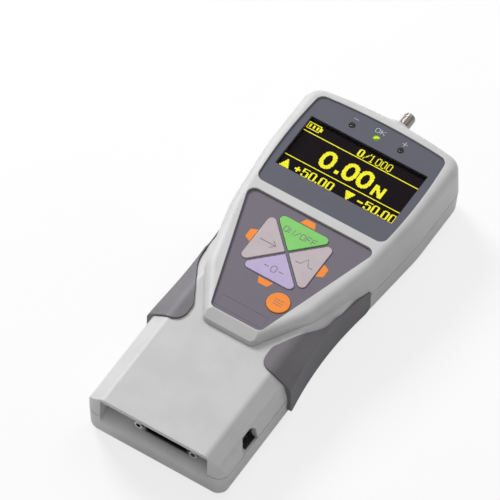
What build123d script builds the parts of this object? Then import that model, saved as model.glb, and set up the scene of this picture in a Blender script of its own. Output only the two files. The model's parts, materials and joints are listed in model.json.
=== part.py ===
from build123d import *
import math
import os

# A hand-held digital force gauge, lying on its back, in millimetres.
# Z points out of the display, Y towards the sensing shaft, X to the right of someone who reads it.
# The origin is under the middle of the whole length, on the flat back.

# Overall form
overall_length = 216.0
shaft_reach = 10.5
boss_reach = 6.0
head_half_width = 41.4
handle_half_width = 36.4
waist_draw = 1.8
seam_height = 15.5
handle_height = 29.5
face_rise = 4.8
wall = 2.8
crown_drop = 4.0
head_corner_radius = 10.0
tail_corner_radius = 6.0
flare_from_head = 43.5
waist_from_head = 111.5
handle_from_head = 143.5
side_blend_radius = 70.0
seam_groove = 0.5

# Raised face with its pointed lower end, and the sloped shoulders of the handle
face_round = 5.0
face_tip_half_width = 13.5
face_tip_from_head = 140.5
face_tip_radius = 5.0
face_side_inset = 5.6
face_side_from_head = 114.5
face_side_radius = 24.0
face_root_from_head = 79.5
rim_length = 6.4
rim_drop = 3.2
shoulder_inset = 9.4
shoulder_width = 7.5
shoulder_drop = 5.0
shoulder_round = 4.0
back_round = 5.0
side_draft = 3.0

# Display
recess_depth = 0.8
sheet = 0.5
overlay_inset = 6.3
overlay_bulge = 1.5
overlay_from_head = 6.7
overlay_length = 56.8
overlay_crown = 1.9
overlay_radius = 4.0
window_half_width = 31.0
window_height = 31.0
window_from_head = 35.95
led_pitch = 12.9
led_from_head = 14.8
led_radius = 1.5
led_hole_radius = 1.7
glass_half_width = 34.0
glass_half_height = 19.2
glass_offset = 1.75
frame_rim = 1.0
collar = 1.2
display_board_gap = 3.1
display_board_below = 26.15
display_board_above = 19.05
display_tab_half_width = 20.4
display_tab_reach = 4.3
tab_post_inset = 2.8
board_post_inset = 2.5

# Keys: four triangles round a cross, and one round key
key_recess_depth = 1.2
keypad_inset = 2.6
keypad_bottom_half_width = 13.0
keypad_from_head = 68.5
keypad_length = 65.0
keypad_radius = 3.5
cross_from_head = 90.5
key_reach_x = 16.9
key_reach_y = 16.6
key_gap = 1.4
key_corner = 2.2
key_travel = 0.4
key_proud = 0.5
key_clearance = 0.2
key_stem_radius = 2.0
key_stem_offset = 10.5
key_rest_gap = 0.05
menu_key_x = 11.4
menu_key_from_head = 115.6
menu_key_radius = 5.45
flange = 0.5
flange_thickness = 0.8
stem_length = 0.3
dome_radius = 4.0
dome_height = 0.4
dome_slope = 60.0
keypad_board_inset = 2.8
keypad_board_left = 13.0
keypad_board_right = 14.5
keypad_board_rise = 5.5
keypad_post_x = 9.0
keypad_post_inset = 3.5

# Side grips
grip_pocket = 1.2
grip_gap = 0.1
grip_proud = 0.9
grip_from_head = 79.2
grip_length = 67.3
grip_low = 4.5
grip_end_swell = 2.4
grip_dip = 1.4
grip_dip_from_head = 113.5
grip_lean = 1.5
grip_fold_round = 8.0
grip_hook_inset = 15.8
grip_hook_length = 11.5
grip_hook_radius = 6.5
grip_bend_inset = 2.6
grip_bend_from_head = 111.0
grip_bend_radius = 24.0
grip_head_rise = 4.0
grip_side_drop = 6.0
grip_slope_length = 14.0
grip_corner = 4.0
far = 60.0

# Tail socket and side socket
socket_inset = 8.4
socket_depth = 7.0
socket_wall = 2.0
scoop_radius = 6.0
connector_x = 5.0
connector_half_width = 17.0
connector_length = 10.9
shell_half_width = 11.5
shell_height = 6.6
shell_reach = 4.0
shell_wall = 1.0
tongue_height = 1.8
jackscrew_offset = 14.25
jackscrew_reach = 5.0
jackscrew_radius = 2.3
jackscrew_bore = 1.2
jackscrew_bore_depth = 4.0
jackscrew_thread = 1.4
jackscrew_thread_length = 7.0
jack_from_tail = 24.5
jack_half_length = 4.0
jack_height = 6.9
jack_corner = 0.8
jack_setback = 3.4
jack_sill = 2.1
jack_sill_height = 0.5
jack_hole_radius = 2.8
jack_hole_floor = 2.0
jack_pin_radius = 0.8
scoop_height = 9.3
scoop_ramp = 4.5
scoop_corner = 3.8
notch_from_tail = 32.8
notch_length = 7.0
notch_depth = 1.8
notch_width = 3.5

# Sensing shaft and load cell
shaft_height = 14.0
stud_radius = 3.0
stud_length = 10.2
stud_chamfer = 0.6
shank_radius = 4.0
cell_thread_radius = 2.5
boss_radius = 9.0
boss_chamfer = 0.8
boss_root = 1.0
bore_clearance = 0.6
cell_half_width = 22.0
cell_from_head = 17.5
cell_length = 38.0
cell_thickness = 14.0
cell_arm = 10.4
cell_slit = 2.0
cell_post = 10.0
thread_bite = 2.0
gauge_well_radius = 6.4
gauge_web = 3.0
gauge_foil = 0.3
gauge_foil_width = 2.6
gauge_foil_length = 5.0
nut_flats = 10.0
nut_length = 5.0
bolt_head_radius = 5.0
bolt_head_length = 5.0
bracket_web = 5.0
bracket_foot = 4.0
bracket_low = 4.0
bracket_length = 20.0
bracket_half_width = 24.0
bracket_rib = 3.0
bracket_screw_x = 13.0
bracket_column_radius = 3.5
bracket_screw_rows = (6.0, 14.0)

# Boards, cells and fasteners
board = 1.6
screw_radius = 1.0
pan_head_radius = 1.8
pan_head_height = 1.4
screw_bite = 1.9
post_radius = 2.2
thread_gap = 0.05
fit_gap = 0.1
seat_gap = 0.5
main_board_side_gap = 2.6
main_board_length = 60.5
main_post_inset = 3.5
main_screw_bite = 5.0
case_screw_radius = 1.5
case_screw_head_radius = 2.8
case_screw_head_height = 2.4
case_screw_socket = 1.2
case_screw_sink = 8.0
case_screw_bite = 5.5
case_column_radius = 3.2
tail_screw_side = 4.6
tail_screw_end = 4.5
waist_screw_side = 4.3
waist_screw_gap = 5.0
head_screw_side = 7.9
head_screw_end = 12.0
washer_head_radius = 2.75
washer_head_height = 2.0
insert_radius = 2.9
insert_bore = 2.0
insert_depth = 6.0
insert_sink = 0.2
insert_boss = 1.7
insert_spacing_x = 40.0
insert_spacing_y = 60.0
inserts_from_head = 77.5
cell_radius = 5.25
cell_count = 5
battery_length = 44.5
battery_from_tail = 15.75
rib_thickness = 1.5
rib_height = 9.0
side_pair = (-1, 1)

# Places along the body
tail_y = -overall_length / 2
tip_y = overall_length / 2
boss_face_y = tip_y - shaft_reach
head_y = boss_face_y - boss_reach
flare_y = head_y - flare_from_head
waist_y = head_y - waist_from_head
handle_end_y = head_y - handle_from_head
face_tip_y = head_y - face_tip_from_head
face_side_y = head_y - face_side_from_head
face_root_y = head_y - face_root_from_head
overlay_top_y = head_y - overlay_from_head
overlay_bottom_y = overlay_top_y - overlay_length
window_y = head_y - window_from_head
glass_y = window_y - glass_offset
led_y = head_y - led_from_head
keypad_top_y = head_y - keypad_from_head
keypad_bottom_y = keypad_top_y - keypad_length
keypad_board_bottom_y = keypad_bottom_y + keypad_board_rise
cross_y = head_y - cross_from_head
menu_key_y = head_y - menu_key_from_head
grip_head_y = head_y - grip_from_head
grip_tail_y = grip_head_y - grip_length
grip_dip_y = head_y - grip_dip_from_head
grip_bend_y = head_y - grip_bend_from_head
socket_back_y = tail_y + socket_depth
inner_tail_y = socket_back_y + socket_wall
main_board_low_y = inner_tail_y + seat_gap
main_board_high_y = main_board_low_y + main_board_length
jack_y = tail_y + jack_from_tail
scoop_low_y = jack_y - jack_half_length - scoop_ramp
scoop_high_y = jack_y + jack_half_length
notch_y = tail_y + notch_from_tail
battery_low_y = tail_y + battery_from_tail
battery_high_y = battery_low_y + battery_length
cell_high_y = head_y - cell_from_head
cell_low_y = cell_high_y - cell_length
gauge_y = (cell_low_y + cell_high_y) / 2
bracket_y = cell_low_y - bracket_web
insert_middle_y = head_y - inserts_from_head

# Places across the body
waist_half_width = handle_half_width - waist_draw
flare_slope = (head_half_width - waist_half_width) / (flare_y - waist_y)
root_half_width = waist_half_width + flare_slope * (face_root_y - waist_y)
face_side_half_width = waist_half_width - face_side_inset
shoulder_half_width = handle_half_width - shoulder_inset
overlay_half_width = head_half_width - overlay_inset
overlay_corner_half_width = overlay_half_width - overlay_bulge
display_board_half_width = head_half_width - wall - display_board_gap
keypad_top_half_width = handle_half_width - keypad_inset
keypad_board_half_width = keypad_top_half_width - keypad_board_inset
grip_end_half_width = handle_half_width + grip_end_swell
grip_dip_half_width = handle_half_width - grip_dip
grip_hook_x = handle_half_width - grip_hook_inset
grip_bend_x = handle_half_width - grip_bend_inset
socket_half_width = handle_half_width - socket_inset
main_board_half_width = handle_half_width - wall - main_board_side_gap
jack_face_x = handle_half_width - jack_setback
jack_depth = jack_face_x - connector_x - connector_half_width - seat_gap
battery_half_width = cell_count * cell_radius

# Heights
face_height = handle_height + face_rise
overlay_low = face_height - recess_depth - sheet
keypad_low = face_height - key_recess_depth - sheet
roof = face_height - wall
display_board_low = roof - 2 * board
key_top = keypad_low + sheet + key_proud
flange_low = roof - key_rest_gap - flange_thickness
key_low = flange_low - stem_length
keypad_board_low = key_low - key_travel - fit_gap - dome_height - board
main_board_low = seam_height - board
socket_top = handle_height - socket_wall
connector_z = (seam_height + socket_top) / 2
connector_top = handle_height - wall - seat_gap - fit_gap
shaft_bore = shank_radius + bore_clearance
cell_low = shaft_height - cell_thickness / 2

# Places of what repeats
led_places = {"led_low": -led_pitch, "led_ok": 0.0, "led_high": led_pitch}
tail_screw_places = [(side * (handle_half_width - tail_screw_side), tail_y + tail_screw_end) for side in side_pair]
waist_screw_places = [
    (side * (waist_half_width - waist_screw_side), main_board_high_y + waist_screw_gap) for side in side_pair
]
head_screw_places = [(side * (head_half_width - head_screw_side), head_y - head_screw_end) for side in side_pair]
case_screw_places = tail_screw_places + waist_screw_places + head_screw_places
display_post_places = [
    (side * (display_tab_half_width - tab_post_inset), led_y + pan_head_radius) for side in side_pair
]
display_post_places += [
    (side * (display_board_half_width - board_post_inset), window_y - display_board_below + pan_head_radius)
    for side in side_pair
]
keypad_post_places = [
    (-keypad_board_half_width + keypad_post_inset, keypad_top_y - keypad_post_inset),
    (keypad_board_half_width - keypad_post_inset, keypad_top_y - keypad_post_inset),
    (-keypad_post_x, keypad_board_bottom_y + keypad_post_inset),
]
main_post_places = [
    (side * (main_board_half_width - post_radius), y) for side in side_pair
    for y in (main_board_low_y + main_post_inset, main_board_high_y - main_post_inset)
]
bracket_screw_places = [
    (side * bracket_screw_x, bracket_y - row) for side in side_pair for row in bracket_screw_rows
]
insert_places = [
    (x * insert_spacing_x / 2, insert_middle_y + y * insert_spacing_y / 2) for x in side_pair for y in side_pair
]
jackscrew_places = [(connector_x + side * jackscrew_offset, connector_z) for side in side_pair]

os.makedirs("parts", exist_ok=True)


def body_outline(inset=0.0):
    """The whole body seen from above at the seam: wide head, waist, straight handle."""
    corner_y = head_y - crown_drop
    with BuildSketch() as outline:
        with BuildLine():
            Polyline(
                (-head_half_width, corner_y), (-head_half_width, flare_y), (-waist_half_width, waist_y),
                (-handle_half_width, handle_end_y), (-handle_half_width, tail_y), (handle_half_width, tail_y),
                (handle_half_width, handle_end_y), (waist_half_width, waist_y), (head_half_width, flare_y),
                (head_half_width, corner_y),
            )
            ThreePointArc((head_half_width, corner_y), (0, head_y), (-head_half_width, corner_y))
        make_face()
        by_y = outline.vertices().group_by(Axis.Y)
        fillet(by_y[0], tail_corner_radius)
        fillet(outline.vertices().group_by(Axis.Y)[-1], head_corner_radius)
        bend_rows = (flare_y, waist_y, handle_end_y)
        bends = [corner for corner in outline.vertices() if min(abs(corner.Y - y) for y in bend_rows) < fit_gap]
        fillet(bends, side_blend_radius)
        if inset > 0:
            offset(amount=-inset)
    return outline.sketch


def face_outline(inset=0.0):
    """The raised face seen from above: the head, drawn in to a blunt point between the grips."""
    corner_y = head_y - crown_drop
    with BuildSketch() as outline:
        with BuildLine():
            Polyline(
                (-head_half_width, corner_y), (-head_half_width, flare_y), (-root_half_width, face_root_y),
                (-face_side_half_width, face_side_y), (-face_tip_half_width, face_tip_y),
                (face_tip_half_width, face_tip_y), (face_side_half_width, face_side_y),
                (root_half_width, face_root_y), (head_half_width, flare_y), (head_half_width, corner_y),
            )
            ThreePointArc((head_half_width, corner_y), (0, head_y), (-head_half_width, corner_y))
        make_face()
        fillet(outline.vertices().group_by(Axis.Y)[0], face_tip_radius)
        fillet(outline.vertices().group_by(Axis.Y)[-1], head_corner_radius)
        fillet([v for v in outline.vertices() if abs(v.Y - face_side_y) < fit_gap], face_side_radius)
        fillet([v for v in outline.vertices() if min(abs(v.Y - flare_y), abs(v.Y - face_root_y)) < fit_gap],
               side_blend_radius)
        if inset > 0:
            offset(amount=-inset)
    return outline.sketch


def overlay_outline(margin=0.0):
    """The display overlay: bulged sides and a crowned top edge, with a margin all round."""
    corner_x = overlay_corner_half_width + margin
    middle_x = overlay_half_width + margin
    bottom_y = overlay_bottom_y - margin
    crown_y = overlay_top_y + margin
    corner_y = crown_y - overlay_crown
    middle_y = (bottom_y + corner_y) / 2
    with BuildSketch() as outline:
        with BuildLine():
            Line((-corner_x, bottom_y), (corner_x, bottom_y))
            ThreePointArc((corner_x, bottom_y), (middle_x, middle_y), (corner_x, corner_y))
            ThreePointArc((corner_x, corner_y), (0, crown_y), (-corner_x, corner_y))
            ThreePointArc((-corner_x, corner_y), (-middle_x, middle_y), (-corner_x, bottom_y))
        make_face()
        fillet(outline.vertices(), overlay_radius + margin)
    return outline.sketch


def keypad_outline():
    """The key sheet: a trapezium that narrows towards the handle."""
    with BuildSketch() as outline:
        with BuildLine():
            Polyline(
                (-keypad_top_half_width, keypad_top_y), (-keypad_bottom_half_width, keypad_bottom_y),
                (keypad_bottom_half_width, keypad_bottom_y), (keypad_top_half_width, keypad_top_y), close=True,
            )
        make_face()
        fillet(outline.vertices(), keypad_radius)
    return outline.sketch


def key_outline(side):
    """One triangular key of the cross. side counts quarter turns from the right-hand key."""
    reach = key_reach_x if side % 2 == 0 else key_reach_y
    tip = key_gap / math.sqrt(2)
    with BuildSketch() as outline:
        with BuildLine():
            Polyline((tip, 0), (reach, reach - tip), (reach, tip - reach), close=True)
        make_face()
        fillet(outline.vertices().group_by(Axis.X)[-1], key_corner)
        fillet(outline.vertices().group_by(Axis.X)[0], key_corner / 4)
    return outline.sketch.rotate(Axis.Z, 90 * side).moved(Location((0, cross_y, 0)))


def menu_key_outline():
    """The round key beside the cross."""
    with BuildSketch() as outline:
        with Locations((menu_key_x, menu_key_y)):
            Circle(menu_key_radius)
    return outline.sketch


def grown(sketch, amount):
    """A copy of a flat outline, grown by an amount, or shrunk where it is negative."""
    with BuildSketch() as outline:
        add(sketch)
        offset(amount=amount)
    return outline.sketch


def window_outline(margin=0.0):
    """The display window, with a margin all round."""
    with BuildSketch() as outline:
        with Locations((0, window_y)):
            Rectangle(2 * (window_half_width + margin), window_height + 2 * margin)
    return outline.sketch


def handle_form(inset):
    """The upper half of the straight handle, with its sloped shoulders."""
    fold_x = shoulder_half_width + shoulder_width
    fold_z = handle_height - shoulder_drop
    with BuildPart() as form:
        with BuildSketch(Plane.XZ.offset(-tail_y - inset)) as profile:
            with BuildLine():
                Polyline(
                    (0, seam_height - wall), (handle_half_width, seam_height - wall),
                    (handle_half_width, seam_height), (fold_x, fold_z),
                    (shoulder_half_width, handle_height), (0, handle_height), close=True,
                )
            make_face()
            for fold in ((fold_x, fold_z), (shoulder_half_width, handle_height)):
                fillet(profile.vertices().sort_by_distance(fold)[0], shoulder_round)
            mirror(about=Plane.YZ)
            if inset > 0:
                offset(amount=-inset)
        extrude(amount=-(face_root_y - tail_y - 2 * inset))
        with BuildSketch(Plane.XY.offset(seam_height)):
            add(body_outline(inset))
        extrude(amount=handle_height - seam_height, mode=Mode.INTERSECT)
    return form.part


def face_form(inset):
    """The upper half of the head with the raised face, rounded over at its top edge."""
    with BuildPart() as form:
        with BuildSketch(Plane.XY.offset(seam_height)):
            add(face_outline(inset))
        extrude(amount=face_height - inset - seam_height, taper=side_draft)
        fillet(form.edges().group_by(Axis.Z)[-1], face_round - inset)
    return form.part


def front_form(inset):
    """Everything above the seam, drawn in by an inset on every outer side."""
    with BuildPart() as form:
        add(handle_form(inset))
        add(face_form(inset))
    return form.part


def back_form(inset):
    """Everything below the seam, drawn in by an inset on every outer side."""
    with BuildPart() as form:
        with BuildSketch(Plane.XY.offset(seam_height)):
            add(body_outline(inset))
        extrude(amount=inset - seam_height, taper=side_draft)
        fillet(form.edges().group_by(Axis.Z)[0], back_round - inset)
    return form.part


def body_form(inset):
    """The whole closed body, drawn in by an inset on every outer side."""
    with BuildPart() as form:
        add(front_form(inset))
        add(back_form(inset))
    return form.part


def grip_region(gap):
    """The space of the right grip: its hooked front edge seen from above, and its edge seen from the side."""
    bend = (grip_bend_x, grip_bend_y)
    head_edge_y = grip_head_y + grip_gap
    shoulder_start = (grip_head_y, seam_height + grip_head_rise)
    with BuildPart() as region:
        with BuildSketch() as hook:
            with BuildLine():
                Polyline(
                    (far, grip_tail_y), (grip_hook_x, grip_tail_y), (grip_hook_x, grip_tail_y + grip_hook_length),
                    bend, (handle_half_width + grip_gap, head_edge_y), (far, head_edge_y), close=True,
                )
            make_face()
            fillet(hook.vertices().group_by(Axis.X)[0], grip_hook_radius)
            fillet(hook.vertices().sort_by_distance(bend)[0], grip_bend_radius)
            offset(amount=-gap)
        extrude(amount=far)
        with BuildSketch(Plane.YZ) as side:
            with BuildLine():
                Polyline(
                    (grip_tail_y, far), (grip_tail_y, grip_low), (grip_head_y, grip_low), shoulder_start,
                    (grip_dip_y + grip_slope_length, handle_height - grip_side_drop),
                    (grip_bend_y, handle_height), (grip_bend_y, far), close=True,
                )
            make_face()
            fillet(side.vertices().group_by(Axis.Y)[0], grip_corner)
            fillet(side.vertices().sort_by_distance(shoulder_start)[0], grip_corner / 2)
            offset(amount=-gap)
        extrude(amount=far, mode=Mode.INTERSECT)
    return region.part


def grip_blank():
    """The outside of the right grip: dipped in the middle, swelling at both ends, and rounded over its folds."""
    top = handle_height + grip_proud
    shoulder = shoulder_half_width + grip_proud / 3
    fold_x = grip_end_half_width - grip_lean
    fold_z = top - (fold_x - shoulder) * shoulder_drop / shoulder_width
    widest_x = grip_end_half_width + grip_proud
    with BuildPart() as blank:
        with BuildSketch(Plane.XZ.offset(far)) as profile:
            with BuildLine():
                Polyline(
                    (0, 0), (fold_x, 0), (widest_x, seam_height), (fold_x, fold_z), (shoulder, top), (0, top),
                    close=True,
                )
            make_face()
            for fold in ((widest_x, seam_height), (fold_x, fold_z), (shoulder, top)):
                fillet(profile.vertices().sort_by_distance(fold)[0], grip_fold_round)
        extrude(amount=-2 * far)
        with BuildSketch():
            with BuildLine():
                Polyline(
                    (grip_end_half_width, grip_tail_y - grip_corner), (0, grip_tail_y - grip_corner),
                    (0, grip_head_y + grip_corner), (grip_end_half_width, grip_head_y + grip_corner),
                )
                ThreePointArc(
                    (grip_end_half_width, grip_head_y + grip_corner), (grip_dip_half_width, grip_dip_y),
                    (grip_end_half_width, grip_tail_y - grip_corner),
                )
            make_face()
        extrude(amount=far, mode=Mode.INTERSECT)
    return blank.part


def pocket():
    """What is cut from the body for the right grip: the outer skin inside the grip's edge."""
    with BuildPart() as cutter:
        add(grip_region(0))
        add(body_form(grip_pocket), mode=Mode.SUBTRACT)
    return cutter.part


def columns(places, radius, low, high):
    """Upright round columns at a list of places, between two heights."""
    with BuildPart() as group:
        with BuildSketch(Plane.XY.offset(low)):
            with Locations(*places):
                Circle(radius)
        extrude(amount=high - low)
    return group.part


def rods(places, radius, low_y, high_y):
    """Round rods along the body at a list of places, x and height, between two distances along it."""
    with BuildPart() as group:
        with BuildSketch(Plane.XZ.offset(-low_y)):
            with Locations(*places):
                Circle(radius)
        extrude(amount=low_y - high_y)
    return group.part


def boss(radius, low_y, high_y):
    """A round form along the shaft's axis, between two distances along the body."""
    return rods([(0, shaft_height)], radius, low_y, high_y)


def half_boss(keep):
    """The part of the shaft's boss above or below the seam, with its rim taken off."""
    with BuildPart() as form:
        add(boss(boss_radius, head_y - wall - boss_root, boss_face_y))
        chamfer(form.edges().group_by(Axis.Y)[-1], boss_chamfer)
        split(bisect_by=Plane.XY.offset(seam_height), keep=keep)
    return form.part


def block(x, y, z):
    """A rectangular block between pairs of limits along the three axes."""
    with BuildPart() as form:
        with BuildSketch(Plane.XY.offset(z[0])):
            with Locations(((x[0] + x[1]) / 2, (y[0] + y[1]) / 2)):
                Rectangle(x[1] - x[0], y[1] - y[0])
        extrude(amount=z[1] - z[0])
    return form.part


def plate(outline, low, thickness):
    """A flat outline raised into a plate."""
    with BuildPart() as form:
        with BuildSketch(Plane.XY.offset(low)):
            add(outline)
        extrude(amount=thickness)
    return form.part


def jack_outline(margin=0.0):
    """The face of the side socket, standing on the seam."""
    height = jack_height + margin
    with BuildSketch() as outline:
        with Locations((jack_y, seam_height + height / 2)):
            Rectangle(2 * (jack_half_length + margin), height)
        fillet(outline.vertices().group_by(Axis.Y)[-1], jack_corner + margin)
    return outline.sketch


def scoop():
    """What is cut from the right side round the side socket: an arch that rises out of the wall with a ramp."""
    with BuildPart() as form:
        with BuildSketch(Plane.XY.offset(seam_height)):
            with BuildLine():
                Polyline(
                    (far, scoop_low_y), (handle_half_width, scoop_low_y), (jack_face_x, scoop_low_y + scoop_ramp),
                    (jack_face_x, scoop_high_y), (far, scoop_high_y), close=True,
                )
            make_face()
        extrude(amount=scoop_height)
        with BuildSketch(Plane.YZ) as arch:
            with Locations(((scoop_low_y + scoop_high_y) / 2, seam_height + scoop_height / 2)):
                Rectangle(scoop_high_y - scoop_low_y, scoop_height)
            fillet(arch.vertices().group_by(Axis.Y)[-1], scoop_corner)
        extrude(amount=far, mode=Mode.INTERSECT)
    return form.part


def frame_outline(margin=0.0):
    """The display frame seen from above: the glass with a rim round it."""
    with BuildSketch() as outline:
        with Locations((0, glass_y)):
            Rectangle(2 * (glass_half_width + frame_rim + margin), 2 * (glass_half_height + frame_rim + margin))
    return outline.sketch


def display_board_outline():
    """The display's board: as wide as the head inside, with a tab behind the lamps."""
    with BuildSketch() as outline:
        with Locations((0, window_y)):
            Rectangle(2 * display_board_half_width, 2 * display_board_above)
        with Locations((0, window_y - display_board_below / 2)):
            Rectangle(2 * display_board_half_width, display_board_below)
        with Locations((0, led_y)):
            Rectangle(2 * display_tab_half_width, 2 * display_tab_reach)
    return outline.sketch


def keypad_board_outline():
    """The board under the keys."""
    with BuildSketch() as outline:
        with BuildLine():
            Polyline(
                (-keypad_board_half_width, keypad_top_y), (-keypad_board_left, keypad_board_bottom_y),
                (keypad_board_right, keypad_board_bottom_y), (keypad_board_half_width, keypad_top_y), close=True,
            )
        make_face()
    return outline.sketch


keys = {
    "key_power": key_outline(1),
    "key_send": key_outline(2),
    "key_zero": key_outline(3),
    "key_peak": key_outline(0),
    "key_menu": menu_key_outline(),
}
key_centres = {
    "key_power": (0, cross_y + key_stem_offset), "key_send": (-key_stem_offset, cross_y),
    "key_zero": (0, cross_y - key_stem_offset), "key_peak": (key_stem_offset, cross_y),
    "key_menu": (menu_key_x, menu_key_y),
}
right_pocket = pocket()

with BuildPart() as front_cavity:
    add(front_form(wall))
    add(block((-far, far), (tail_y, inner_tail_y), (0, far)), mode=Mode.SUBTRACT)
    add(columns(waist_screw_places, case_column_radius, seam_height, keypad_board_low - wall), mode=Mode.SUBTRACT)
    add(columns(head_screw_places, case_column_radius, seam_height, face_height), mode=Mode.SUBTRACT)
    add(columns(display_post_places, post_radius, display_board_low + board, face_height), mode=Mode.SUBTRACT)
    add(columns(keypad_post_places, post_radius, keypad_board_low + board, face_height), mode=Mode.SUBTRACT)

with BuildPart() as front_case:
    add(front_form(0))
    # The rim that slopes down to the face's tip
    with BuildSketch(Plane.YZ.offset(-far)):
        with BuildLine():
            Polyline(
                (face_tip_y + rim_length, face_height), (face_tip_y, face_height - rim_drop),
                (face_tip_y - wall, far), (face_tip_y + rim_length, far), close=True,
            )
        make_face()
    extrude(amount=2 * far, mode=Mode.SUBTRACT)
    # The dark line of the seam
    with BuildSketch(Plane.XY.offset(seam_height)):
        add(body_outline())
        add(body_outline(seam_groove), mode=Mode.SUBTRACT)
    extrude(amount=seam_groove, mode=Mode.SUBTRACT)
    add(half_boss(Keep.TOP))
    add(front_cavity.part, mode=Mode.SUBTRACT)
    add(boss(shaft_bore, 0, tip_y), mode=Mode.SUBTRACT)
    add(right_pocket, mode=Mode.SUBTRACT)
    add(mirror(right_pocket, about=Plane.YZ, mode=Mode.PRIVATE), mode=Mode.SUBTRACT)
    # Recesses for the two sheets, the window and the lamps
    with BuildSketch(Plane.XY.offset(overlay_low)):
        add(overlay_outline(fit_gap))
    extrude(amount=far, mode=Mode.SUBTRACT)
    with BuildSketch(Plane.XY.offset(keypad_low)):
        add(grown(keypad_outline(), fit_gap))
    extrude(amount=far, mode=Mode.SUBTRACT)
    with BuildSketch(Plane.XY.offset(roof - fit_gap)):
        add(window_outline(collar + fit_gap))
        with Locations(*[(x, led_y) for x in led_places.values()]):
            Circle(led_hole_radius)
    extrude(amount=far, mode=Mode.SUBTRACT)
    with BuildSketch(Plane.XY.offset(roof - fit_gap)):
        add(frame_outline(fit_gap))
    extrude(amount=fit_gap + sheet, mode=Mode.SUBTRACT)
    # Openings for the keys
    for outline in keys.values():
        with BuildSketch(Plane.XY.offset(roof - fit_gap)):
            add(grown(outline, key_clearance))
        extrude(amount=far, mode=Mode.SUBTRACT)
    # Tail socket, with the cut-outs of the connector and its two screws
    add(block((-socket_half_width, socket_half_width), (tail_y - wall, socket_back_y), (0, socket_top)),
        mode=Mode.SUBTRACT)
    with BuildSketch(Plane.XZ.offset(-socket_back_y)):
        with Locations((connector_x, connector_z)):
            Rectangle(2 * (shell_half_width + fit_gap), shell_height + 2 * fit_gap)
        with Locations(*jackscrew_places):
            Circle(jackscrew_radius + fit_gap)
    extrude(amount=-(socket_wall + seat_gap), mode=Mode.SUBTRACT)
    # Scoop and opening of the side socket
    add(scoop(), mode=Mode.SUBTRACT)
    with BuildSketch(Plane.YZ.offset(jack_face_x - wall)):
        add(jack_outline())
    extrude(amount=wall + jack_sill, mode=Mode.SUBTRACT)
    # Pilot holes of the screws
    case_pilot = case_screw_radius + thread_gap
    post_pilot = screw_radius + thread_gap
    pilot_depth = board + screw_bite + fit_gap
    add(columns(case_screw_places, case_pilot, 0, seam_height + case_screw_bite + seat_gap), mode=Mode.SUBTRACT)
    add(columns(display_post_places, post_pilot, 0, display_board_low + pilot_depth), mode=Mode.SUBTRACT)
    add(columns(keypad_post_places, post_pilot, 0, keypad_board_low + pilot_depth), mode=Mode.SUBTRACT)
front_case.part.label = "front_case"
export_step(front_case.part, "parts/front_case.step")

with BuildPart() as back_cavity:
    add(back_form(wall))
    add(block((-far, far), (tail_y, inner_tail_y), (seam_height - socket_wall, far)), mode=Mode.SUBTRACT)
    add(columns(case_screw_places, case_column_radius, 0, seam_height), mode=Mode.SUBTRACT)
    add(columns(main_post_places, post_radius, 0, main_board_low), mode=Mode.SUBTRACT)
    add(columns(bracket_screw_places, bracket_column_radius, 0, bracket_low), mode=Mode.SUBTRACT)
    add(columns(insert_places, insert_radius + insert_boss, 0, insert_depth + seat_gap), mode=Mode.SUBTRACT)
    # Ribs at both ends of the cells
    for rib_y in (battery_low_y - 2 * fit_gap - rib_thickness, battery_high_y + 2 * fit_gap):
        add(block((-battery_half_width, battery_half_width), (rib_y, rib_y + rib_thickness), (0, rib_height)),
            mode=Mode.SUBTRACT)

with BuildPart() as rear_case:
    add(back_form(0))
    add(half_boss(Keep.BOTTOM))
    add(back_cavity.part, mode=Mode.SUBTRACT)
    add(boss(shaft_bore, 0, tip_y), mode=Mode.SUBTRACT)
    add(right_pocket, mode=Mode.SUBTRACT)
    add(mirror(right_pocket, about=Plane.YZ, mode=Mode.PRIVATE), mode=Mode.SUBTRACT)
    # The rounded lip below the tail socket
    with BuildSketch(Plane.YZ.offset(-socket_half_width)):
        with BuildLine():
            RadiusArc((tail_y + scoop_radius, seam_height), (tail_y, seam_height - scoop_radius), -scoop_radius)
            Polyline(
                (tail_y, seam_height - scoop_radius), (tail_y - wall, seam_height - scoop_radius),
                (tail_y - wall, far), (tail_y + scoop_radius, far), (tail_y + scoop_radius, seam_height),
            )
        make_face()
    extrude(amount=2 * socket_half_width, mode=Mode.SUBTRACT)
    # Screw holes, sunk from the back, insert seats and pilot holes
    add(columns(case_screw_places, case_screw_radius + 2 * fit_gap, 0, seam_height), mode=Mode.SUBTRACT)
    add(columns(case_screw_places, case_screw_head_radius + 3 * fit_gap, 0, case_screw_sink), mode=Mode.SUBTRACT)
    add(columns(insert_places, insert_radius, 0, insert_depth), mode=Mode.SUBTRACT)
    main_pilot_low = main_board_low - main_screw_bite - seat_gap
    add(columns(main_post_places, post_pilot, main_pilot_low, seam_height), mode=Mode.SUBTRACT)
    add(columns(bracket_screw_places, case_pilot, seat_gap, seam_height), mode=Mode.SUBTRACT)
    # The small notch on the right lower edge
    add(block((handle_half_width - notch_width, far), (notch_y - notch_length / 2, notch_y + notch_length / 2),
              (-wall, notch_depth)), mode=Mode.SUBTRACT)
rear_case.part.label = "rear_case"
export_step(rear_case.part, "parts/rear_case.step")

with BuildPart() as grip_right:
    add(grip_blank())
    add(grip_region(grip_gap), mode=Mode.INTERSECT)
    add(body_form(grip_pocket - grip_gap), mode=Mode.SUBTRACT)
grip_right.part.label = "grip_right"
export_step(grip_right.part, "parts/grip_right.step")

with BuildPart() as grip_left:
    add(mirror(grip_right.part, about=Plane.YZ, mode=Mode.PRIVATE))
grip_left.part.label = "grip_left"
export_step(grip_left.part, "parts/grip_left.step")

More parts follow.
